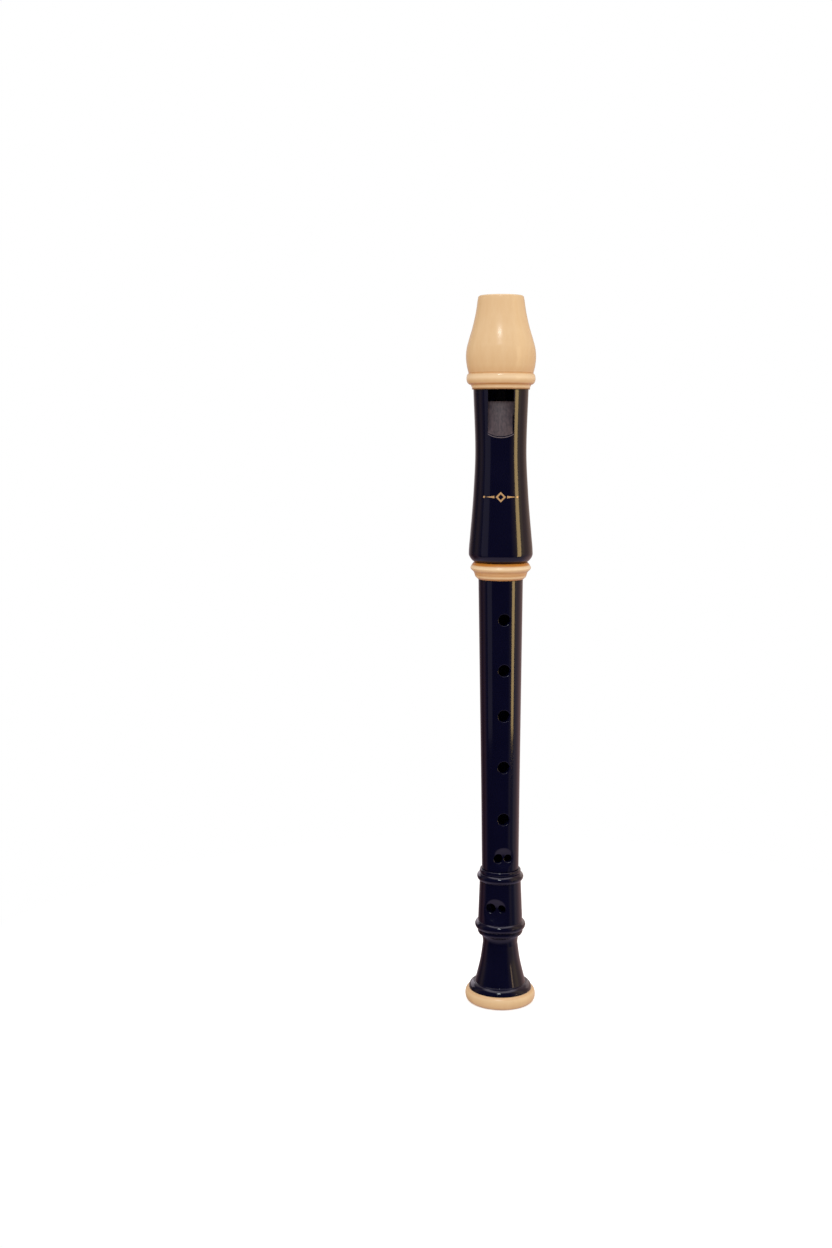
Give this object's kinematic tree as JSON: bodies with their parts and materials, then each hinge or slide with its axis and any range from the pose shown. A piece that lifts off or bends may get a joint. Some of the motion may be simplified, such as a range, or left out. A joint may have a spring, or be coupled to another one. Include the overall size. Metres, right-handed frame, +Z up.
{
  "type": "soprano recorder",
  "caption": "Baroque style soprano recorder with a dark body, pale beak cap and rings, and head and foot joints that twist and pull.",
  "frame": {"origin": "middle of the flat end face of the foot, which the recorder stands on", "axes": "+Z up along the bore to the beak, -Y towards the viewer out of the window, +X to the viewer's right"},
  "size_m": [0.0324, 0.0323, 0.3255],
  "materials": {
    "navy_plastic": "polished dark blue moulded plastic",
    "ivory_plastic": "polished warm ivory moulded plastic",
    "block_plastic": "satin ivory moulded plastic",
    "cork": "waxed sheet cork lapping"
  },
  "bodies": {
    "foot": {"foot_joint": "navy_plastic", "foot_end_ring": "ivory_plastic"},
    "lower_cork": {"lower_tenon_cork": "cork"},
    "middle": {"middle_joint": "navy_plastic"},
    "upper_cork": {"upper_tenon_cork": "cork"},
    "head": {"head_joint": "navy_plastic", "collar_ring": "ivory_plastic", "block": "block_plastic", "beak_cap": "ivory_plastic"}
  },
  "joints": [
    {"name": "foot_pull", "type": "slide", "parent": "foot", "child": "lower_cork", "axis": [0, 0, 1], "range_m": [0, 0.01]},
    {"name": "foot_twist", "type": "hinge", "parent": "lower_cork", "child": "middle", "pos_m": [0, 0, 0.0607], "axis": [0, 0, 1], "continuous": true},
    {"name": "head_twist", "type": "hinge", "parent": "middle", "child": "upper_cork", "pos_m": [0, 0, 0.1934], "axis": [0, 0, 1], "continuous": true},
    {"name": "head_pull", "type": "slide", "parent": "upper_cork", "child": "head", "axis": [0, 0, 1], "range_m": [0, 0.024]}
  ]
}
